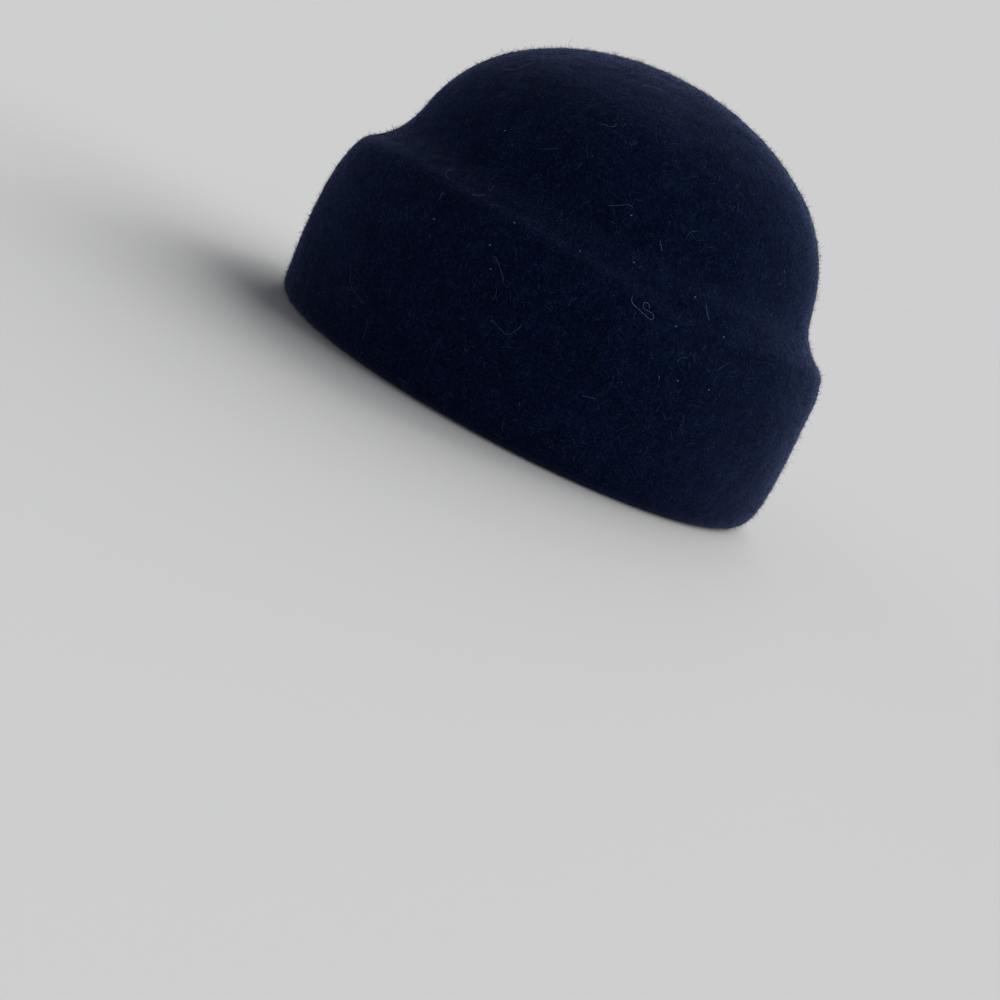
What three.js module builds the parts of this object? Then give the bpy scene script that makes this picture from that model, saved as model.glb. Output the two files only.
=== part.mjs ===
// A sailor hat moulded from one piece of wool felt: a round crown, a cove that opens into a shelf,
// and a deep stand-up cuff whose lower edge is rolled under.
// Millimetres, +Z up. The hat stands on its rim at z = 0, with the front of the head towards -Y.
import * as THREE from "three";
import { LoftGeometry } from "three/addons/geometries/LoftGeometry.js";

// Driving dimensions
const FELT_THICKNESS = 2.5;
const WIDTH_SHARE = 0.85; // half width over half length, the oval of a head
const FELT_COLOUR = 0x12152c; // navy

// How finely the felt is faceted
const POINTS_ROUND = 64;
const STEPS_PER_SECTION = 2;

// Sections of the hat block, from the cut edge under the rim to the top of the crown: the height
// above the surface that the hat stands on, and the half lengths to the front and to the back.
// The rolled rim's lowest section lies below that surface, where the felt is pressed flat.
const SECTIONS = [
  { name: "rim_edge", height: 0.0, front: 98.0, back: 98.0 },
  { name: "rim_foot", height: -0.4, front: 103.0, back: 103.0 },
  { name: "rim_roll", height: 3.0, front: 111.2, back: 110.2 },
  { name: "cuff_foot", height: 9.0, front: 112.8, back: 112.8 },
  { name: "cuff_low", height: 24.0, front: 113.6, back: 113.6 },
  { name: "cuff_mid", height: 42.0, front: 113.4, back: 112.8 },
  { name: "cuff_high", height: 57.0, front: 111.9, back: 111.7 },
  { name: "shoulder_foot", height: 65.5, front: 109.9, back: 110.5 },
  { name: "shoulder", height: 72.0, front: 107.0, back: 107.8 },
  { name: "shelf", height: 77.0, front: 100.4, back: 101.1 },
  { name: "cove", height: 83.0, front: 95.2, back: 95.4 },
  { name: "crown_foot", height: 91.0, front: 91.3, back: 92.0 },
  { name: "crown_low", height: 101.0, front: 88.4, back: 89.1 },
  { name: "crown_flank", height: 111.0, front: 84.0, back: 84.8 },
  { name: "crown_side", height: 120.0, front: 78.1, back: 78.8 },
  { name: "crown_turn", height: 129.6, front: 68.8, back: 69.2 },
  { name: "crown_upper", height: 139.0, front: 53.9, back: 54.1 },
  { name: "crown_high", height: 146.0, front: 37.0, back: 37.0 },
  { name: "crown_cap", height: 150.3, front: 18.0, back: 18.0 },
  { name: "apex", height: 151.6, front: 0.0, back: 0.0 },
];
const LAST_SPAN = SECTIONS.length - 1;

// The profile runs smoothly through the sections and on over the apex to the far side, so that the
// crown is level at its top. x holds the half length to the front, y to the back, z the height.
function blockProfile() {
  const points = SECTIONS.map((s) => new THREE.Vector3(s.front, s.back, s.height));
  const beyond = points[LAST_SPAN - 1];
  points.push(new THREE.Vector3(-beyond.x, -beyond.y, beyond.z));
  return new THREE.CatmullRomCurve3(points);
}
const profile = blockProfile();

// A point of the felt's outer face: span counts sections up from the rim edge, and angle runs
// counterclockwise from the wearer's left at +X.
function outerPoint(span, angle) {
  const at = profile.getPoint(span / SECTIONS.length);
  const halfLength = Math.sin(angle) < 0 ? at.x : at.y;
  const halfWidth = (WIDTH_SHARE * (at.x + at.y)) / 2;
  return new THREE.Vector3(
    halfWidth * Math.cos(angle),
    halfLength * Math.sin(angle),
    Math.max(0, at.z),
  );
}

// The outward normal there, from the slopes along the profile and round the hat.
function outerNormal(span, angle) {
  const step = 1e-3;
  const up = outerPoint(Math.min(span + step, LAST_SPAN), angle);
  up.sub(outerPoint(Math.max(span - step, 0), angle));
  const round = outerPoint(span, angle + step).sub(outerPoint(span, angle - step));
  return round.cross(up).normalize();
}

// The felt's inner face lies one thickness inside the outer face.
function innerPoint(span, angle) {
  return outerPoint(span, angle).addScaledVector(outerNormal(span, angle), -FELT_THICKNESS);
}

function ring(pointOf, span) {
  const turn = (2 * Math.PI) / POINTS_ROUND;
  return Array.from({ length: POINTS_ROUND }, (_, i) => pointOf(span, i * turn));
}

// At the top of the crown a ring shrinks to a single point.
function pole(height) {
  return Array.from({ length: POINTS_ROUND }, () => new THREE.Vector3(0, 0, height));
}

// The whole felt is one loft: down the inside from the top, round the rim's cut edge, up the outside.
function feltShell() {
  const spans = [];
  for (let i = 0; i < LAST_SPAN * STEPS_PER_SECTION; i++) spans.push(i / STEPS_PER_SECTION);
  const inside = spans.map((span) => ring(innerPoint, span)).reverse();
  const outside = spans.map((span) => ring(outerPoint, span));
  const top = SECTIONS[LAST_SPAN].height;
  return new LoftGeometry([pole(top - FELT_THICKNESS), ...inside, ...outside, pole(top)]);
}

const felt = new THREE.MeshStandardMaterial({ color: FELT_COLOUR, roughness: 1, metalness: 0 });
const feltBody = new THREE.Mesh(feltShell(), felt);
feltBody.name = "felt_body";

const hat = new THREE.Group();
hat.add(feltBody);
export default hat;
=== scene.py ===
# %% [markdown]
# # A sailor hat of navy felt
#
# The hat in this lesson is one piece of wool felt. A milliner steams a felt cone, pulls it over a
# wooden block while it is soft and lets it dry there, so the crown, the shelf round it and the deep
# cuff are all the same unbroken cloth. There is no seam, band or binding to model.
#
# What makes felt look like felt is small: a wall that is never quite even, a matt navy surface with
# paler flecks, and a haze of short wool fibres that shows best along the outline. Each of these gets
# its own step below. The solid model gives the hat's size and place, and nothing here changes it.

# %% Load the solid model as a fixed frame
import math

import bpy
import numpy as np
from mathutils import Matrix, Vector


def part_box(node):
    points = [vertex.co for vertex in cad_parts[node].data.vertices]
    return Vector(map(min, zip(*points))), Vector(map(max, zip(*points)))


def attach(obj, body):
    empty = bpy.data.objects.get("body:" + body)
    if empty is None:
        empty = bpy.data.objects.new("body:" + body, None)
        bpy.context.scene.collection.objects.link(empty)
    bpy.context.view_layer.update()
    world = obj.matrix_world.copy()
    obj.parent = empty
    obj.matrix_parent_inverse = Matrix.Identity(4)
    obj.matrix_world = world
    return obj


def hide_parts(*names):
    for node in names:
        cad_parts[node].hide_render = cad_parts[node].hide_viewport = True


MM = 0.001
HAT_NODE = "felt_body"

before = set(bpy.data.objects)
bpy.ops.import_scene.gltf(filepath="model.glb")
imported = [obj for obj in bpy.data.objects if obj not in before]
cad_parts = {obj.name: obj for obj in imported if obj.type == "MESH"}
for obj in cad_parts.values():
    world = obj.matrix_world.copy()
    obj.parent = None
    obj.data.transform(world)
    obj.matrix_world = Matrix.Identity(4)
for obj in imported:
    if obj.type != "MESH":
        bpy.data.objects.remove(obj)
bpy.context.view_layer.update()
hat_low, hat_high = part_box(HAT_NODE)
print("solid pieces:", list(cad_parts))
print("solid hat, mm:", [round(v / MM, 1) for v in hat_high - hat_low])

# %% [markdown]
# ## The block
#
# A hat block is described by a few level sections: how high each one is, and how far it reaches to
# the front and to the back. A smooth curve through them gives every height in between. The sections
# could be edited by hand as a cage of points, but a table keeps the hat's real sizes in plain sight,
# and a formula can be asked for a point anywhere on the felt, which the fibres need later.

# %% The table of sections, in millimetres
SECTION_COLUMNS = [("name", "U16"), ("height", float), ("front", float), ("back", float)]
SECTIONS = np.array([
    ("rim_edge", 0.0, 98.0, 98.0),
    ("rim_foot", -0.4, 103.0, 103.0),
    ("rim_roll", 3.0, 111.2, 110.2),
    ("cuff_foot", 9.0, 112.8, 112.8),
    ("cuff_low", 24.0, 113.6, 113.6),
    ("cuff_mid", 42.0, 113.4, 112.8),
    ("cuff_high", 57.0, 111.9, 111.7),
    ("shoulder_foot", 65.5, 109.9, 110.5),
    ("shoulder", 72.0, 107.0, 107.8),
    ("shelf", 77.0, 100.4, 101.1),
    ("cove", 83.0, 95.2, 95.4),
    ("crown_foot", 91.0, 91.3, 92.0),
    ("crown_low", 101.0, 88.4, 89.1),
    ("crown_flank", 111.0, 84.0, 84.8),
    ("crown_side", 120.0, 78.1, 78.8),
    ("crown_turn", 129.6, 68.8, 69.2),
    ("crown_upper", 139.0, 53.9, 54.1),
    ("crown_high", 146.0, 37.0, 37.0),
    ("crown_cap", 150.3, 18.0, 18.0),
    ("apex", 151.6, 0.0, 0.0),
], dtype=SECTION_COLUMNS)
LAST_SPAN = len(SECTIONS) - 1
WIDTH_SHARE = 0.85  # half width over half length, the oval of a head
FELT_THICKNESS = 2.5 * MM
print("sections of the block:", len(SECTIONS))


# %% A smooth profile through the sections
def profile(span):
    """Height and half lengths to the front and the back, in metres, at each span.

    span counts sections up from the rim's edge. Between two rows the curve is the cubic through both,
    with slopes from their neighbours (a Catmull-Rom spline), where the parameter advances by the
    square root of the distance between rows. After the apex comes a row mirrored through the hat's
    axis, so the crown is level at its top. Felt below the surface it stands on is pressed flat.
    """
    rows = np.stack([SECTIONS["height"], SECTIONS["front"], SECTIONS["back"]], axis=-1) * MM
    mirrored = rows[-2] * (1, -1, -1)
    knots = np.vstack([2 * rows[0] - rows[1], rows, mirrored])
    first = np.clip(np.floor(span).astype(int), 0, LAST_SPAN - 1)
    t = (span - first)[..., None]
    p0, p1, p2, p3 = (knots[first + k] for k in range(4))
    d0 = np.linalg.norm(p1 - p0, axis=-1, keepdims=True) ** 0.5
    d1 = np.linalg.norm(p2 - p1, axis=-1, keepdims=True) ** 0.5
    d2 = np.linalg.norm(p3 - p2, axis=-1, keepdims=True) ** 0.5
    slope1 = d1 * ((p1 - p0) / d0 - (p2 - p0) / (d0 + d1) + (p2 - p1) / d1)
    slope2 = d1 * ((p2 - p1) / d1 - (p3 - p1) / (d1 + d2) + (p3 - p2) / d2)
    bend = 3 * (p2 - p1) - 2 * slope1 - slope2
    twist = 2 * (p1 - p2) + slope1 + slope2
    curve = p1 + slope1 * t + bend * t**2 + twist * t**3
    return np.maximum(curve[..., 0], 0.0), curve[..., 1], curve[..., 2]


def block_face(span, angle):
    """Points of the true block: an oval with the section's half lengths, counterclockwise from +X."""
    height, front, back = profile(span)
    half_length = np.where(np.sin(angle) < 0, front, back)
    half_width = WIDTH_SHARE * (front + back) / 2
    return np.stack([half_width * np.cos(angle), half_length * np.sin(angle), height], axis=-1)


def unit(vectors):
    """Vectors cut to length one."""
    return vectors / np.linalg.norm(vectors, axis=-1, keepdims=True)


def slopes_of(face, span, angle):
    """How a face's points move for each unit of span, and for each radian round the hat."""
    step = 1e-3
    above = np.minimum(span + step, LAST_SPAN - step)
    below = np.clip(span - step, 0, LAST_SPAN - 3 * step)
    up = (face(above, angle) - face(below, angle)) / (above - below)[..., None]
    near_span = np.minimum(span, LAST_SPAN - 2 * step)
    round_hat = (face(near_span, angle + step) - face(near_span, angle - step)) / (2 * step)
    return up, round_hat


def normal_of(face, span, angle):
    """Outward normals of a face: square to both of its slopes."""
    up, round_hat = slopes_of(face, span, angle)
    return unit(np.cross(round_hat, up))


half_way_up = [round(float(v) / MM, 1) for v in profile(np.array(LAST_SPAN / 2))]
print("half way through the sections, mm high, to the front, to the back:", half_way_up)

# %% [markdown]
# ## The unevenness of handwork
#
# Felt dries a little unevenly, so a real cuff swells and sinks by a fraction of a millimetre. Random
# bumps on each vertex would look like noise, so a few long waves round and up the hat are added
# together instead. They fade out at the rim, which lies flat, and at the very top. Over them lie low
# hummocks a fingertip wide, where the wool was laid thicker: these are waves too, short ones that cross
# in all directions. The shoulder above the cuff was pressed by hand as well, crisp at the front and the
# back and softer along the sides.

# %% Slow waves over the felt
WAVE_COLUMNS = [("round", int), ("up", float), ("size", float), ("phase", float)]
WAVES = np.array([
    (2, 0.7, 0.30, 0.4),
    (3, 1.3, 0.26, 2.1),
    (5, 0.9, 0.20, 4.0),
    (7, 2.2, 0.14, 1.2),
    (11, 1.6, 0.09, 5.3),
    (16, 3.1, 0.05, 3.3),
], dtype=WAVE_COLUMNS)  # waves round the hat, waves up it, size in mm, phase in radians
CALM_HEIGHT = 14 * MM
CALM_RADIUS = 45 * MM


def unevenness(span, angle):
    """How far the felt stands off the block: a sum of slow waves, nought at the rim and the apex."""
    height, front, _ = profile(span)
    calm = np.clip(height / CALM_HEIGHT, 0, 1) * np.clip(front / CALM_RADIUS, 0, 1)
    turn = WAVES["round"] * angle[..., None]
    rise = 2 * np.pi * WAVES["up"] * height[..., None] / hat_high.z
    waves = WAVES["size"] * MM * np.cos(turn + rise + WAVES["phase"])
    return calm**2 * waves.sum(axis=-1)


print("slow waves:", len(WAVES), "of up to", WAVES["size"].max(), "mm each")

# %% Hummocks where the wool lies thicker
FIELD_WAVES = 24
HUMMOCK_LENGTHS = (6 * MM, 16 * MM)
HUMMOCK_SIZE = 0.06 * MM
HUMMOCK_SEED = 5


def random_field(points, wavelengths, seed):
    """A smooth random field of spread one: the sum of plane waves of random lengths and headings."""
    rng = np.random.default_rng(seed)
    way = unit(rng.normal(size=(FIELD_WAVES, 3)))
    number = 2 * np.pi / rng.uniform(*wavelengths, FIELD_WAVES)
    phase = rng.uniform(0, 2 * np.pi, FIELD_WAVES)
    waves = np.cos(points @ (way * number[:, None]).T + phase)
    return waves.sum(axis=-1) * (2 / FIELD_WAVES) ** 0.5


def hummocks(points):
    """Low mounds all over the felt, nought where it lies flat on the floor."""
    calm = np.clip(points[..., 2] / CALM_HEIGHT, 0, 1)
    return calm * HUMMOCK_SIZE * random_field(points, HUMMOCK_LENGTHS, HUMMOCK_SEED)


print("hummocks of", HUMMOCK_SIZE / MM, "mm,", [v / MM for v in HUMMOCK_LENGTHS], "mm apart")

# %% The shoulder, softer at the sides
SHOULDER_COLUMNS = [("angle", float), ("rise", float), ("softness", float)]
SHOULDER = np.array([
    (-90, 0.0, 0.0),
    (-45, 3.5, 0.2),
    (-20, 2.4, 0.2),
    (4, 1.8, 0.5),
    (20, -1.5, 1.0),
    (34, 0.0, 1.0),
    (50, 2.0, 0.4),
    (90, 0.0, 0.0),
    (140, -1.5, 0.6),
    (205, 1.5, 0.3),
], dtype=SHOULDER_COLUMNS)  # degrees from the left side, mm up, share of the full softening
SHELF_HEIGHT = 75 * MM
SHELF_REACH = 9 * MM
COVE_FILL = 2.5 * MM
SHOULDER_CUT = 1.5 * MM
SOFT_REACH = 6 * MM


def shoulder(angle):
    """How far the shelf rises and softens at each angle: an S curve from each row to the next."""
    turn = SHOULDER["angle"][0] + np.mod(np.degrees(angle) - SHOULDER["angle"][0], 360)
    stops = np.append(SHOULDER["angle"], SHOULDER["angle"][0] + 360)
    place = np.interp(turn, stops, np.arange(len(stops)))
    row = np.minimum(place.astype(int), len(SHOULDER) - 1)
    share = (place - row) ** 2 * (3 - 2 * (place - row))
    here, there = SHOULDER[row], SHOULDER[(row + 1) % len(SHOULDER)]
    return [here[k] + (there[k] - here[k]) * share for k in ("rise", "softness")]


def hump(height, middle, reach):
    """A bell curve over height: one at the middle, fading out within about two reaches."""
    return np.exp(-(((height - middle) / reach) ** 2))


def outer_face(span, angle):
    """Points of the felt's outer face.

    The block is moved along its normal by the slow waves, the hummocks and, where the shoulder is
    soft, out in the cove above the shelf and in at the shoulder below it. Then the shelf is raised or
    lowered.
    """
    span, angle = np.broadcast_arrays(np.asarray(span, float), np.asarray(angle, float))
    block = block_face(span, angle)
    height = block[..., 2]
    rise, softness = shoulder(angle)
    softening = (COVE_FILL * hump(height, SHELF_HEIGHT + SOFT_REACH, SOFT_REACH)
                 - SHOULDER_CUT * hump(height, SHELF_HEIGHT - SOFT_REACH, SOFT_REACH))
    lift = unevenness(span, angle) + hummocks(block) + softness * softening
    point = block + lift[..., None] * normal_of(block_face, span, angle)
    point[..., 2] += rise * MM * hump(height, SHELF_HEIGHT, SHELF_REACH)
    return point


def inner_face(span, angle):
    """Points of the felt's inner face, one thickness inside the outer face."""
    span, angle = np.broadcast_arrays(np.asarray(span, float), np.asarray(angle, float))
    return outer_face(span, angle) - FELT_THICKNESS * normal_of(outer_face, span, angle)


some_places = np.meshgrid(np.linspace(0, LAST_SPAN, 60), np.linspace(0, 2 * np.pi, 72))
stand_off = np.linalg.norm(outer_face(*some_places) - block_face(*some_places), axis=-1)
print("the felt leaves the true block by at most, mm:", round(stand_off.max() / MM, 2))

# %% [markdown]
# ## From arrays to meshes
#
# Every piece below ends as an array of points and an array of faces. One helper turns them into a
# mesh whose object stays at the origin, and says which body of the solid model it belongs to.

# %% One mesh helper for all pieces
def make_piece(name, points, faces, material):
    """A smooth mesh object from points (n, 3) and a list of face arrays, each of one corner count."""
    corners = np.concatenate([part.ravel() for part in faces])
    counts = np.concatenate([np.full(len(part), part.shape[1]) for part in faces])
    starts = np.concatenate([[0], np.cumsum(counts)[:-1]])
    mesh = bpy.data.meshes.new(name)
    mesh.vertices.add(len(points))
    mesh.vertices.foreach_set("co", np.asarray(points, np.float32).ravel())
    mesh.loops.add(len(corners))
    mesh.loops.foreach_set("vertex_index", corners.astype(np.int32))
    mesh.polygons.add(len(counts))
    mesh.polygons.foreach_set("loop_start", starts.astype(np.int32))
    mesh.polygons.foreach_set("use_smooth", np.ones(len(counts), bool))
    mesh.update(calc_edges=True)
    mesh.validate()
    mesh.materials.append(material)
    piece = bpy.data.objects.new(name, mesh)
    bpy.context.scene.collection.objects.link(piece)
    print(name, "triangles:", int((counts - 2).sum()))
    return piece


def hat_piece(name, points, faces, material):
    """A piece of the hat: it moves with the hat's one body, in the finish it is given."""
    piece = make_piece(name, points, faces, material)
    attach(piece, "root")
    return piece


# %% Colours and nodes
def linear(hex_colour):
    """An sRGB hex colour such as "#1a2040" as linear red, green, blue and full alpha."""
    channels = np.array([int(hex_colour[i:i + 2], 16) for i in (1, 3, 5)]) / 255
    low = channels / 12.92
    high = ((channels + 0.055) / 1.055) ** 2.4
    return (*np.where(channels <= 0.04045, low, high), 1.0)


def add_node(material, kind, settings=(), **inputs):
    """Adds a node, sets its properties, and fills or links its inputs by identifier."""
    node = material.node_tree.nodes.new(kind)
    for key, value in dict(settings).items():
        setattr(node, key, value)
    sockets = {socket.identifier.replace(" ", "_"): socket for socket in node.inputs}
    for key, value in inputs.items():
        if isinstance(value, bpy.types.NodeSocket):
            material.node_tree.links.new(value, sockets[key])
        else:
            sockets[key].default_value = value
    return node


def new_material(name):
    """An empty material and its output node."""
    material = bpy.data.materials.new(name)
    material.use_nodes = True
    material.node_tree.nodes.clear()
    return material, add_node(material, "ShaderNodeOutputMaterial")


print("middle grey in linear light:", round(float(linear("#808080")[0]), 3))

# %% [markdown]
# ## Pressed wool felt
#
# Wool felt is fibres matted by steam and pressing, dyed here a deep navy. It has no gloss: light
# sinks in between the fibres, and only the fibre tips give some back, most of all where one looks
# along the nap. A rough Principled shader with sheen does that evenly. A real nap is patchy, so a
# Layer Weight node adds a painted sheen: it mixes a pale colour into the base colour, in the pattern
# of the mat, where the felt turns away from the eye.
#
# The dye lies unevenly. Noises the size of a tuft and of a fingertip, and streaks that cross like
# fibres, mix three navies from nearly black to pale. The tufts and streaks also give a shallow bump,
# together with clumps a few millimetres wide.

# %% Fibres in the mat
MATTED_LENGTH = 3 * MM
MATTED_WIDTH = 0.4 * MM
MATTED_WAYS = [(0.3, 0.5, 0.2), (1.2, 0.4, 1.9), (2.3, 1.1, 0.8)]


def matted_fibres(material, place):
    """Streaks that cross like fibres: noise stretched in three directions, the palest one on top."""
    palest = 0.0
    for way in MATTED_WAYS:
        along = add_node(material, "ShaderNodeMapping", {"vector_type": "TEXTURE"}, Vector=place,
                         Rotation=way, Scale=(MATTED_LENGTH, MATTED_WIDTH, MATTED_WIDTH))
        streak = add_node(material, "ShaderNodeTexNoise", Vector=along.outputs["Vector"], Scale=1.0,
                          Detail=2.0, Distortion=0.6)
        highest = add_node(material, "ShaderNodeMath", {"operation": "MAXIMUM"}, Value=palest,
                           Value_001=streak.outputs["Fac"])
        palest = highest.outputs["Value"]
    return palest


print("streaks of", MATTED_LENGTH / MM, "by", MATTED_WIDTH / MM, "mm, headings:", len(MATTED_WAYS))

# %% Navy wool felt
TUFT_SIZE = 1.2 * MM
PATCH_SIZE = 9 * MM
STREAK_SHARE = 0.55
PATCH_SHARE = 0.1
NAVY_STOPS = {0.43: "#010308", 0.56: "#07122b", 0.71: "#202e50"}
CLUMP_SIZE = 3.5 * MM
CLUMP_SHARE = 0.8
RELIEF_DEPTH = 0.5 * MM
# painted sheen: a pale colour mixed into the base colour where the felt turns away from the eye
PAINTED_SHEEN_COLOUR = "#7385b2"
PAINTED_SHEEN_TURN = 8.0  # the higher, the closer to the outline the painted sheen begins
PAINTED_SHEEN_MAT = (0.46, 0.66)  # values of the mat where the painted sheen starts and where it is full
SHEEN_TINT = "#acbfff"
COLOUR_RESULT = 2  # the Mix node has an output for each kind of value


def wool_felt():
    """Matt deep blue felt: colour and relief from one mat of tufts and streaks, and a painted sheen."""
    material, output = new_material("pressed_wool_felt")
    place = add_node(material, "ShaderNodeTexCoord").outputs["Object"]
    tuft = add_node(material, "ShaderNodeTexNoise", Vector=place, Scale=1 / TUFT_SIZE, Detail=5.0,
                    Roughness=0.8)
    patch = add_node(material, "ShaderNodeTexNoise", Vector=place, Scale=1 / PATCH_SIZE, Detail=3.0)
    mat = add_node(material, "ShaderNodeMix", Factor_Float=STREAK_SHARE, A_Float=tuft.outputs["Fac"],
                   B_Float=matted_fibres(material, place)).outputs["Result"]
    worn = add_node(material, "ShaderNodeMix", Factor_Float=PATCH_SHARE, A_Float=mat,
                    B_Float=patch.outputs["Fac"])
    ramp = add_node(material, "ShaderNodeValToRGB", Fac=worn.outputs["Result"])
    ramp.color_ramp.elements.new(0.5)
    for element, (position, colour) in zip(ramp.color_ramp.elements, NAVY_STOPS.items()):
        element.position = position
        element.color = linear(colour)
    # painted sheen: the base colour turns towards a pale colour where the felt turns away from the eye,
    # in the pattern of the mat
    facing = add_node(material, "ShaderNodeLayerWeight", Blend=0.5).outputs["Facing"]
    grazing = add_node(material, "ShaderNodeMath", {"operation": "POWER"}, Value=facing,
                       Value_001=PAINTED_SHEEN_TURN)
    painted_sheen_pattern = add_node(material, "ShaderNodeMapRange", Value=mat, From_Min=PAINTED_SHEEN_MAT[0], From_Max=PAINTED_SHEEN_MAT[1])
    painted_sheen = add_node(material, "ShaderNodeMath", {"operation": "MULTIPLY"},
                         Value=grazing.outputs["Value"], Value_001=painted_sheen_pattern.outputs["Result"])
    navy_and_painted_sheen = add_node(material, "ShaderNodeMix", {"data_type": "RGBA"}, A_Color=ramp.outputs["Color"],
                    B_Color=linear(PAINTED_SHEEN_COLOUR), Factor_Float=painted_sheen.outputs["Value"])
    clump = add_node(material, "ShaderNodeTexNoise", Vector=place, Scale=1 / CLUMP_SIZE, Detail=2.0)
    relief = add_node(material, "ShaderNodeMath", {"operation": "MULTIPLY_ADD"}, Value_002=mat,
                      Value=clump.outputs["Fac"], Value_001=CLUMP_SHARE)
    bump = add_node(material, "ShaderNodeBump", Height=relief.outputs["Value"], Strength=1.0,
                    Distance=RELIEF_DEPTH)
    shader = add_node(material, "ShaderNodeBsdfPrincipled", Base_Color=navy_and_painted_sheen.outputs[COLOUR_RESULT],
                      Normal=bump.outputs["Normal"], Roughness=1.0, Specular_IOR_Level=0.0,
                      Sheen_Weight=0.125, Sheen_Roughness=0.45, Sheen_Tint=linear(SHEEN_TINT))
    material.node_tree.links.new(shader.outputs["BSDF"], output.inputs["Surface"])
    return material


felt = wool_felt()
print(felt.name, "nodes:", len(felt.node_tree.nodes))

# %% [markdown]
# ## The felt itself
#
# The felt is one closed shell: down the inside from the top, round the cut edge under the rim and up
# the outside. A Solidify modifier on the outer face would do nearly the same, but then the rim's edge
# would not be a row of its own. Here each row is a ring of points, and the two poles close it.

# %% The shell in rings
COLUMNS = 320
OUTER_ROWS = 190
INNER_ROWS = 86
EDGE_STEP = 0.06  # share of a span; a tight row keeps the cut edge crisp
PROFILE_STEPS = 4000


def even_spans(count):
    """Spans from the rim's edge to just short of the apex, evenly spaced along the profile's length."""
    fine = np.linspace(0, LAST_SPAN, PROFILE_STEPS + 1)
    height, front, _ = profile(fine)
    along = np.concatenate([[0], np.cumsum(np.hypot(np.diff(height), np.diff(front)))])
    spans = np.interp(np.linspace(0, along[-1], count), along, fine)
    return np.concatenate([[0, EDGE_STEP], spans[1:-1]])


def felt_shell():
    """Rings of quads from the inner pole out to the rim's edge and up to the outer pole."""
    angle = np.linspace(0, 2 * np.pi, COLUMNS, endpoint=False)
    inside = inner_face(even_spans(INNER_ROWS)[::-1, None], angle)
    outside = outer_face(even_spans(OUTER_ROWS)[:, None], angle)
    rings = np.concatenate([inside, outside])
    apex = np.array([0, 0, hat_high.z])
    points = np.vstack([rings.reshape(-1, 3), apex - (0, 0, FELT_THICKNESS), apex])
    index = np.arange(len(rings) * COLUMNS).reshape(len(rings), COLUMNS)
    beside = np.roll(index, -1, axis=1)
    quads = np.stack([index[:-1], beside[:-1], beside[1:], index[1:]], axis=-1).reshape(-1, 4)
    inner_pole = np.full(COLUMNS, len(points) - 2)
    outer_pole = np.full(COLUMNS, len(points) - 1)
    inner_fan = np.stack([beside[0], index[0], inner_pole], axis=-1)
    outer_fan = np.stack([index[-1], beside[-1], outer_pole], axis=-1)
    return points, [quads, inner_fan, outer_fan]


shell = hat_piece("felt_shell", *felt_shell(), felt)
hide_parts(HAT_NODE)

# %% [markdown]
# ## The nap
#
# Brushing and wear lift the ends of countless wool fibres out of the felt. Most lie almost flat, some
# stand up as a fringe that shows against the light, and a few longer ones fly away. Blender can grow
# hair, but hair is not a mesh that can be handed on, so each fibre here is a thin spindle: a point, one
# or more small rings, and a point. All the fibres of a piece are worked out at once, as arrays. A wool
# fibre is 0.03 mm thick, too fine to show at this distance, so they are drawn two or three times as
# thick.

# %% Places spread evenly over the felt
CELLS = 240


def scatter(low_span, high_span, per_square_mm, rng):
    """Random places (span, angle) between two spans, equally dense everywhere on the outer face.

    The face is cut into small cells, a cell is drawn with a chance that follows its area, and the
    place is put at random inside it.
    """
    spans = np.linspace(low_span, high_span, CELLS + 1)
    angles = np.linspace(0, 2 * np.pi, CELLS + 1)
    corner = outer_face(spans[:, None], angles)
    along = corner[1:, :-1] - corner[:-1, :-1]
    across = corner[:-1, 1:] - corner[:-1, :-1]
    area = np.linalg.norm(np.cross(along, across), axis=-1).ravel()
    count = int(area.sum() / MM**2 * per_square_mm)
    cell = np.searchsorted(np.cumsum(area), rng.random(count) * area.sum())
    row, column = np.divmod(np.minimum(cell, area.size - 1), CELLS)
    span = spans[row] + rng.random(count) * (spans[1] - spans[0])
    angle = angles[column] + rng.random(count) * (angles[1] - angles[0])
    return span, angle


PER_SQUARE_CM = 0.01
one_each = scatter(0, LAST_SPAN, PER_SQUARE_CM, np.random.default_rng(0))
print("outer face, square cm:", len(one_each[0]))

# %% Thin spindles along paths
def spindles(path, thickness, upright, sides=3):
    """Tubes along n paths of k stations, pointed at both ends, with a ring at each station between.

    Each ring is a circle round the path: half the thickness times (cosine * side + sine * rise),
    where side is square to the path and to the felt's normal, and rise is square to both.
    """
    count, stations = path.shape[:2]
    heading = np.gradient(path, axis=1)[:, 1:-1]
    side = unit(np.cross(heading, upright[:, None]))
    rise = unit(np.cross(side, heading))
    turn = np.arange(sides) * 2 * np.pi / sides
    circle = np.cos(turn)[:, None] * side[:, :, None] + np.sin(turn)[:, None] * rise[:, :, None]
    rings = path[:, 1:-1, None] + circle * (thickness / 2)[:, None, None, None]
    points = np.concatenate([path[:, :1], rings.reshape(count, -1, 3), path[:, -1:]], axis=1)
    each = points.shape[1]
    ring = 1 + np.arange((stations - 2) * sides).reshape(stations - 2, sides)
    beside = np.roll(ring, -1, axis=1)
    root_fan = np.stack([np.zeros(sides, int), beside[0], ring[0]], axis=-1)
    tip_fan = np.stack([np.full(sides, each - 1), ring[-1], beside[-1]], axis=-1)
    walls = np.stack([ring[:-1], beside[:-1], beside[1:], ring[1:]], axis=-1).reshape(-1, 4)
    first = (np.arange(count) * each)[:, None, None]
    parts = [part for part in (root_fan, tip_fan, walls) if len(part)]
    return points.reshape(-1, 3), [(first + part).reshape(-1, part.shape[1]) for part in parts]


straight = np.linspace((0, 0, 0), (3 * MM, 0, 0), 4)[None]
sample_points, _ = spindles(straight, np.array([0.1 * MM]), np.array([[0, 0, 1.0]]))
print("a fibre of four stations has points:", len(sample_points))

# %% Wool fibre, dyed navy
FIBRE_DARK = "#04081c"
FIBRE_NAVY = "#101b44"
FIBRE_PALE = "#4a5674"
FIBRE_SHADE = "fibre_shade"


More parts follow.
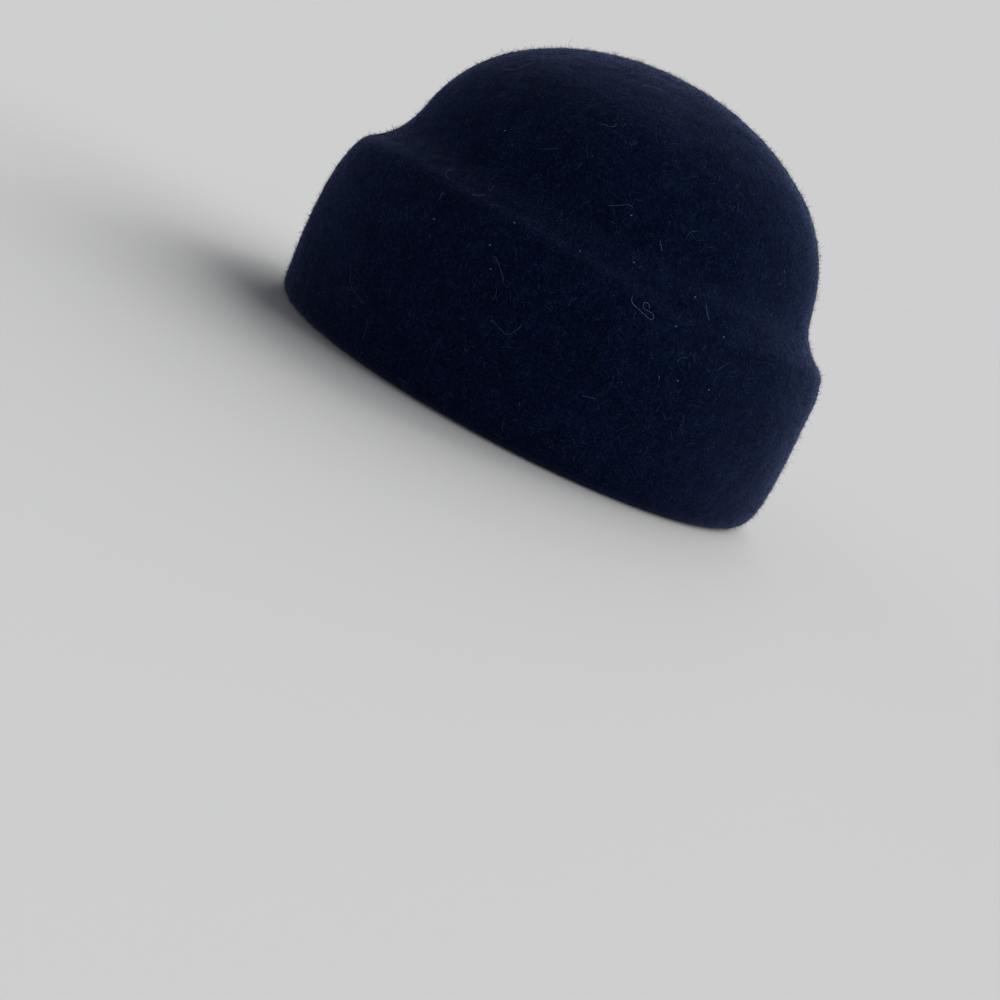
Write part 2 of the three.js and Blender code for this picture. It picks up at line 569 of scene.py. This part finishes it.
def wool_fibre():
    """Single dyed fibres: clearer and paler than the mat below, each with its own shade of the dye."""
    material, output = new_material("dyed_wool_fibre")
    shade = add_node(material, "ShaderNodeAttribute", {"attribute_name": FIBRE_SHADE})
    ramp = add_node(material, "ShaderNodeValToRGB", Fac=shade.outputs["Fac"])
    ramp.color_ramp.elements.new(0.5)
    for element, colour in zip(ramp.color_ramp.elements, (FIBRE_DARK, FIBRE_NAVY, FIBRE_PALE)):
        element.color = linear(colour)
    shader = add_node(material, "ShaderNodeBsdfPrincipled", Base_Color=ramp.outputs["Color"],
                      Roughness=0.9, Specular_IOR_Level=0.03)
    material.node_tree.links.new(shader.outputs["BSDF"], output.inputs["Surface"])
    return material


fibre = wool_fibre()


def fibre_piece(name, path, thickness, normal, shades):
    """One piece of many fibres, each with one shade for all its points."""
    points, faces = spindles(path, thickness, normal)
    piece = hat_piece(name, points, faces, fibre)
    layer = piece.data.attributes.new(FIBRE_SHADE, "FLOAT", "POINT")
    layer.data.foreach_set("value", np.repeat(shades, len(points) // len(path)).astype(np.float32))


print(fibre.name, "from", FIBRE_DARK, "to", FIBRE_PALE)

# %% Short fibres, lying and standing
FIBRE_COLUMNS = [("name", "U16"), ("low_span", float), ("high_span", float), ("per_square_mm", float),
                 ("length", float), ("thickness", float), ("low_lift", float), ("high_lift", float),
                 ("curl", float), ("stations", int), ("shade", float)]
FIBRES = np.array([
    ("nap_cuff_low", 1.5, 4.6, 0.65, 1.4, 0.07, 2, 15, 0.35, 3, 0.15),
    ("nap_cuff_high", 4.6, 10.0, 0.65, 1.4, 0.07, 2, 15, 0.35, 3, 0.15),
    ("nap_crown", 10.0, 18.9, 0.65, 1.4, 0.07, 2, 15, 0.35, 3, 0.15),
    ("fringe_cuff", 1.8, 10.0, 0.3, 1.3, 0.1, 20, 80, 0.4, 3, 0.25),
    ("fringe_crown", 10.0, 18.9, 0.3, 1.3, 0.1, 20, 80, 0.4, 3, 0.25),
    ("flyaways", 2.0, 18.9, 0.03, 1.8, 0.1, 25, 80, 0.5, 4, 0.3),
], dtype=FIBRE_COLUMNS)  # length and thickness in mm, lift in degrees off the felt, darkest shade
BRUSHED_WAY = math.radians(65)  # the nap leans up and back
BRUSHED_SPREAD = math.radians(110)
LENGTH_SPREAD = 0.4
THICKNESS_RANGE = (0.7, 1.3)
PALEST_SHADE = 0.9
TUFT_LENGTHS = (2 * MM, 9 * MM)
TUFT_RISE = 0.15
TUFT_SHADE = 0.2
TUFT_SEED = 7
ROOT_DEPTH = 0.1 * MM
LOWEST_RISE = 0.03
FLOOR_GAP = 0.1 * MM


def short_fibres(kind, rng):
    """Fibres rooted in the felt, each a chain of equal straight steps.

    The first step leaves at the lift angle in the brushed direction, give or take, and each further
    step adds the same random drift to the heading. No step goes back into the felt or the floor. A
    random field makes neighbours into tufts: longer and paler where it is high.
    """
    span, angle = scatter(kind["low_span"], kind["high_span"], kind["per_square_mm"], rng)
    count = len(span)
    root = outer_face(span, angle)
    normal = normal_of(outer_face, span, angle)
    level = unit(np.cross((0, 0, 1), normal))
    upward = np.cross(normal, level)
    way = (BRUSHED_WAY + BRUSHED_SPREAD * rng.normal(size=count))[:, None]
    lift = np.radians(rng.uniform(kind["low_lift"], kind["high_lift"], count))[:, None]
    start = np.cos(lift) * (np.cos(way) * level + np.sin(way) * upward) + np.sin(lift) * normal
    steps = kind["stations"] - 1
    drift = kind["curl"] * rng.normal(size=(count, 1, 3))
    heading = start[:, None] + drift * np.arange(steps)[:, None]
    sunk = np.maximum(LOWEST_RISE - (heading * normal[:, None]).sum(axis=-1, keepdims=True), 0)
    heading = unit(heading + sunk * normal[:, None])
    tuft = random_field(root, TUFT_LENGTHS, TUFT_SEED)
    length = kind["length"] * MM * np.exp(LENGTH_SPREAD * rng.normal(size=count).clip(-2, 2))
    length *= np.exp(TUFT_RISE * tuft.clip(-2, 2))
    chain = np.cumsum(heading * (length / steps)[:, None, None], axis=1)
    path = np.concatenate([np.zeros((count, 1, 3)), chain], axis=1) + root[:, None]
    path[:, 0] -= ROOT_DEPTH * normal
    path[..., 2] = np.maximum(path[..., 2], FLOOR_GAP)
    thickness = kind["thickness"] * MM * rng.uniform(*THICKNESS_RANGE, count)
    paler = (PALEST_SHADE - kind["shade"]) * rng.random(count) ** 3  # only a few are very pale
    shades = np.clip(kind["shade"] + TUFT_SHADE * tuft + paler, 0, 1)
    fibre_piece(str(kind["name"]), path, thickness, normal, shades)


for seed, kind in enumerate(FIBRES):
    short_fibres(kind, np.random.default_rng(seed))

# %% Long strands lying on the felt
STRAND_SPANS = (2.0, 18.4)
STRANDS_PER_SQUARE_MM = 0.045
STRAND_LENGTH = 4 * MM
STRAND_THICKNESS = 0.09 * MM
STRAND_RANGE = (0.6, 1.2)  # thinnest and thickest, as shares
STRAND_SHADE = 0.25
STRAND_PALER = 0.65
STRAND_LIFT = 0.12 * MM
STRAND_FREE = 2.0  # how many more lifts the free end may rise
STRAND_STATIONS = 7
STRAND_CURL = math.radians(25)  # the heading's change from one station to the next
STRAND_SEED = 20


def surface_chain(span, angle, way, step):
    """Points on the felt reached from a place by steps along headings, each (n, k).

    A heading is the angle from level, turning up. The face's slopes at the starting place turn
    lengths along it into changes of span and angle.
    """
    up, round_hat = slopes_of(outer_face, span, angle)
    rise = np.linalg.norm(up, axis=-1)[:, None]
    girth = np.linalg.norm(round_hat, axis=-1)[:, None]
    spans = span[:, None] + np.cumsum(step * np.sin(way), axis=1) / rise
    angles = angle[:, None] + np.cumsum(step * np.cos(way), axis=1) / girth
    return np.clip(spans, 0, LAST_SPAN), angles


def long_strands(rng):
    """Wavy fibres along the felt, a hair's breadth above it, with one end rising free."""
    span, angle = scatter(*STRAND_SPANS, STRANDS_PER_SQUARE_MM, rng)
    count = len(span)
    length = STRAND_LENGTH * np.exp(LENGTH_SPREAD * rng.normal(size=count).clip(-2, 2))
    turns = STRAND_CURL * rng.normal(size=(count, STRAND_STATIONS))
    first = BRUSHED_WAY + BRUSHED_SPREAD * rng.normal(size=(count, 1))
    step = (length / (STRAND_STATIONS - 1))[:, None]
    spans, angles = surface_chain(span, angle, first + np.cumsum(turns, axis=1), step)
    normals = normal_of(outer_face, spans, angles)
    share = np.linspace(0, 1, STRAND_STATIONS)
    height = STRAND_LIFT * (1 + rng.uniform(0, STRAND_FREE, (count, 1)) * share**2)
    height[:, 0] = -ROOT_DEPTH
    path = outer_face(spans, angles) + height[..., None] * normals
    path[..., 2] = np.maximum(path[..., 2], FLOOR_GAP)
    thickness = STRAND_THICKNESS * rng.uniform(*STRAND_RANGE, count)
    shades = STRAND_SHADE + STRAND_PALER * rng.random(count) ** 2.2  # most of them stay dark
    fibre_piece("strands", path, thickness, normals[:, 0], shades)


long_strands(np.random.default_rng(STRAND_SEED))

# %% [markdown]
# ## Lint
#
# A felt hat that has been worn picks up lint: a few undyed hairs that lie in curls, and specks of
# dust. They are too few to leave to chance, so the ones on the side towards the camera are listed
# one by one, each as a place and the arcs it bends through, and the other sides get some at random.

# %% Lint that shows from the left side
LINT_HAIRS = [  # degrees round from the left side, mm up, mm thick, heading, arcs of (mm, degrees)
    (8.7, 72.5, 0.08, -130, [(4.5, 120), (7.5, 0), (5, 200), (2.5, 0), (7, -280)]),
    (-62, 122, 0.06, 10, [(5, 15), (4, 70), (6, -30)]),
    (-14, 41, 0.04, -3, [(7, -20), (3, 75), (6, 35)]),
    (-48, 32, 0.03, -30, [(6, -35), (5, 40), (9, 15)]),
    (-18, 121, 0.05, 10, [(3.6, 0), (3.5, 90)]),
    (-5, 96, 0.05, 25, [(7, 10), (3, -60)]),
    (-19, 141, 0.07, 45, [(9, -32)]),
    (-41, 78, 0.04, -100, [(7.5, 110)]),
    (-31, 74, 0.05, 20, [(5, 50)]),
    (-48, 112, 0.04, 122, [(3.6, 0)]),
    (-19, 62, 0.04, -33, [(10, -10)]),
    (-16, 53, 0.03, -30, [(6, -80)]),
    (10, 94, 0.08, -55, [(4, -5)]),
    (16, 98, 0.04, 115, [(7, -115)]),
    (25, 81, 0.07, -68, [(6.5, 10)]),
    (22, 58, 0.04, 85, [(5, -75)]),
    (8, 32, 0.04, 18, [(5.5, -10)]),
    (-2, 59, 0.04, 90, [(4, -40)]),
    (47, 99, 0.05, 14, [(3, 0)]),
    (31, 61, 0.04, 55, [(8, -14)]),
]
LINT_SPECKS = [  # degrees round, mm up
    (-38, 102), (-34, 62), (-19, 73), (6, 81), (22, 81), (19, 71), (31, 74), (31, 54), (-5, 75),
    (-21, 64), (48, 87), (-18, 57), (49, 104), (24, 52), (20, 50), (1, 97),
]
print("lint listed by hand:", len(LINT_HAIRS), "hairs and", len(LINT_SPECKS), "specks")

# %% Hairs and specks of undyed wool
LINT_COLOUR = "#7d87a2"
LINT_STATIONS = 26
LINT_SIDES = 5
LINT_LIFT = 0.3 * MM
LINT_SEED = 30
ROLL_SPAN = 2  # from the rim's roll upwards, each span has its own height
HEIGHT_STEPS = 2000
SPECK_LENGTH = 0.8
SPECK_THICKNESS = 0.22
SPECK_TURN = 60
STRAY_LINT_PER_SQUARE_MM = 0.0004
STRAY_SPANS = (2.0, 18.0)
STRAY_THICKNESS = 0.04
STRAY_LENGTHS = (2, 10)
STRAY_TURN = 60


def bent_hair(start, arcs):
    """Headings at the stations of a hair, and its step in metres: each arc turns at an even rate."""
    run, turn = np.array(arcs, float).T
    along = np.concatenate([[0], np.cumsum(run)])
    heading = start + np.concatenate([[0], np.cumsum(turn)])
    stations = np.linspace(0, along[-1], LINT_STATIONS)
    return np.radians(np.interp(stations, along, heading)), stations[1] * MM


def undyed_wool():
    """Wool as it grows, grey from dust: matt, and far paler than the felt."""
    material, output = new_material("undyed_wool")
    shader = add_node(material, "ShaderNodeBsdfPrincipled", Base_Color=linear(LINT_COLOUR),
                      Roughness=0.9, Specular_IOR_Level=0.1)
    material.node_tree.links.new(shader.outputs["BSDF"], output.inputs["Surface"])
    return material


def lint(rng):
    """All lint as spindles that follow the felt, a little above the nap."""
    levels = np.linspace(ROLL_SPAN, LAST_SPAN, HEIGHT_STEPS)
    stray_span, stray_angle = scatter(*STRAY_SPANS, STRAY_LINT_PER_SQUARE_MM, rng)
    stray = np.cos(stray_angle) < 0
    speck = [(SPECK_LENGTH, SPECK_TURN)]
    rows = LINT_HAIRS + [(*place, SPECK_THICKNESS, rng.uniform(0, 360), speck) for place in LINT_SPECKS]
    span = np.interp([row[1] * MM for row in rows], profile(levels)[0], levels)
    angle = np.radians([row[0] for row in rows])
    for _ in range(stray.sum()):
        arc = (rng.uniform(*STRAY_LENGTHS), rng.normal(0, STRAY_TURN))
        rows.append((0, 0, STRAY_THICKNESS, rng.uniform(0, 360), [arc]))
    span = np.append(span, stray_span[stray])
    angle = np.append(angle, stray_angle[stray])
    ways, steps = zip(*(bent_hair(heading, arcs) for *_, heading, arcs in rows))
    spans, angles = surface_chain(span, angle, np.array(ways), np.array(steps)[:, None])
    normals = normal_of(outer_face, spans, angles)
    path = outer_face(spans, angles) + LINT_LIFT * normals
    thickness = np.array([row[2] for row in rows]) * MM
    return spindles(path, thickness, normals[:, 0], LINT_SIDES)


hat_piece("lint", *lint(np.random.default_rng(LINT_SEED)), undyed_wool())

# %% [markdown]
# ## The floor and the pale room
#
# A photographer's table runs so far back that it melts into a pale wall. A paper sweep would do that
# from one side only, and the hat is looked at from every side, so here a wide disc of matt paper
# meets a room that is just as pale near the horizon and darker overhead.

# %% A wide paper floor
FLOOR_MIDDLE = 0.2
FLOOR_RADIUS = 14.0
FLOOR_RINGS = 12
FLOOR_SIDES = 96
PAPER = "#c0c4ca"  # a little blue, so that it looks grey by the warm light of the windows


def paper_floor():
    """A disc: rings that widen by the same factor each time, round a point in the middle."""
    radius = np.geomspace(FLOOR_MIDDLE, FLOOR_RADIUS, FLOOR_RINGS)
    angle = np.linspace(0, 2 * np.pi, FLOOR_SIDES, endpoint=False)
    x = radius[:, None] * np.cos(angle)
    y = radius[:, None] * np.sin(angle)
    points = np.stack([x, y, np.zeros_like(x)], axis=-1).reshape(-1, 3)
    index = np.arange(len(points)).reshape(x.shape)
    beside = np.roll(index, -1, axis=1)
    quads = np.stack([index[:-1], index[1:], beside[1:], beside[:-1]], axis=-1).reshape(-1, 4)
    middle = np.stack([index[0], beside[0], np.full(len(angle), len(points))], axis=-1)
    return np.vstack([points, [0, 0, 0]]), [quads, middle]


def matt_paper():
    """Uncoated paper: evenly bright from all sides, with no gloss."""
    material, output = new_material("matt_paper")
    shader = add_node(material, "ShaderNodeBsdfPrincipled", Base_Color=linear(PAPER),
                      Roughness=1.0, Specular_IOR_Level=0.0)
    material.node_tree.links.new(shader.outputs["BSDF"], output.inputs["Surface"])
    return material


floor = make_piece("paper_floor", *paper_floor(), matt_paper())

# %% [markdown]
# ## Light
#
# Soft daylight comes from two wide windows, one at the hat's back and one between its back and its far
# side, both well above it. Felt this dark shows its shape only where light skims it, so the room just
# fills in the shadows. A window is drawn as a sun lamp with a wide angle: its shadows are as soft as a
# window's, and the floor is lit evenly however far it reaches.

# %% Two wide windows and the room
ROOM_WALL = "#fcfcfc"
ROOM_PALE = 0.640
ROOM_OVERHEAD = 0.02
ROOM_EVEN = math.radians(20)
ROOM_FADED = math.radians(55)
WINDOW_LIGHT = "#fff9f0"
LAMP_COLUMNS = [("name", "U16"), ("strength", float), ("side", float), ("height", float),
                ("width", float)]
LAMPS = np.array([
    ("near_window", 2.1, 90, 42, 60),
    ("far_window", 2.9, 150, 33, 60),
], dtype=LAMP_COLUMNS)  # degrees: from +X towards the back, above the floor, and across


def pale_room():
    """Light from all directions: even from the horizon up to one angle, faded at a higher one."""
    world = bpy.data.worlds.new("pale_room")
    world.use_nodes = True
    background = world.node_tree.nodes["Background"]
    direction = add_node(world, "ShaderNodeTexCoord").outputs["Generated"]
    height = add_node(world, "ShaderNodeSeparateXYZ", Vector=direction).outputs["Z"]
    falloff = add_node(world, "ShaderNodeMapRange", {"interpolation_type": "SMOOTHSTEP"}, Value=height,
                       From_Min=math.sin(ROOM_EVEN), From_Max=math.sin(ROOM_FADED),
                       To_Min=ROOM_PALE, To_Max=ROOM_OVERHEAD)
    world.node_tree.links.new(falloff.outputs["Result"], background.inputs["Strength"])
    background.inputs["Color"].default_value = linear(ROOM_WALL)
    return world


def wide_lamp(name, strength, side, height, width):
    """A sun lamp as wide as a window, so its light is the same all over the floor."""
    data = bpy.data.lights.new(name, "SUN")
    data.energy = strength
    data.angle = math.radians(width)
    data.color = linear(WINDOW_LIGHT)[:3]
    light = bpy.data.objects.new(name, data)
    turn = Matrix.Rotation(math.radians(side), 3, "Z") @ Matrix.Rotation(-math.radians(height), 3, "Y")
    light.rotation_mode = "QUATERNION"
    light.rotation_quaternion = (turn @ Vector((1, 0, 0))).to_track_quat("Z", "Y")
    bpy.context.scene.collection.objects.link(light)


bpy.context.scene.world = pale_room()
for lamp in LAMPS:
    wide_lamp(*lamp.tolist())
bpy.context.scene.view_settings.view_transform = "Standard"
print("windows:", LAMPS["name"].tolist())

# %% [markdown]
# ## The camera
#
# The hat is seen from its left side, from a little above the rim and about an arm's length away, with
# the camera rolled so that the front rises to the left. The camera first looks straight at the hat's
# middle, rolls, and then turns away by the small angle that puts the hat in the upper part of the
# picture.

# %% Where the camera stands
PICTURE_PIXELS = 1000
FOCAL_PIXELS = 1500
SENSOR_MM = 36
HAT_MIDDLE = Vector((0.0, 0.0, 75 * MM))
VIEW_DISTANCE = 642.6 * MM
VIEW_SIDE = math.radians(-2.38)  # from +X, a little towards the front
VIEW_HEIGHT = math.radians(3.8)
VIEW_ROLL = math.radians(27.74)
HAT_PIXEL = (597.1, 250.1)  # where the hat's middle lies in the picture


def aimed_camera():
    """Camera axes as rows (right, down, forward): look at the hat, roll, then turn to place it."""
    towards = Vector((math.cos(VIEW_SIDE) * math.cos(VIEW_HEIGHT),
                      math.sin(VIEW_SIDE) * math.cos(VIEW_HEIGHT),
                      math.sin(VIEW_HEIGHT)))
    right = Vector((-math.sin(VIEW_SIDE), math.cos(VIEW_SIDE), 0))
    down = right.cross(towards)
    look = Matrix((right, down, -towards))
    roll = Matrix.Rotation(VIEW_ROLL, 3, "Z")
    offset = Vector([(p - PICTURE_PIXELS / 2) / FOCAL_PIXELS for p in HAT_PIXEL] + [1.0])
    turn = Vector((0, 0, 1)).rotation_difference(offset).to_matrix()
    axes = turn @ roll @ look
    data = bpy.data.cameras.new("camera")
    data.sensor_width = SENSOR_MM
    data.lens = SENSOR_MM * FOCAL_PIXELS / PICTURE_PIXELS
    camera = bpy.data.objects.new("camera", data)
    place = Matrix.Translation(HAT_MIDDLE + VIEW_DISTANCE * towards)
    camera.matrix_world = place @ Matrix((axes[0], -axes[1], -axes[2])).transposed().to_4x4()
    bpy.context.scene.collection.objects.link(camera)
    return camera


bpy.context.scene.camera = aimed_camera()
print("camera at", [round(v, 3) for v in bpy.context.scene.camera.location])
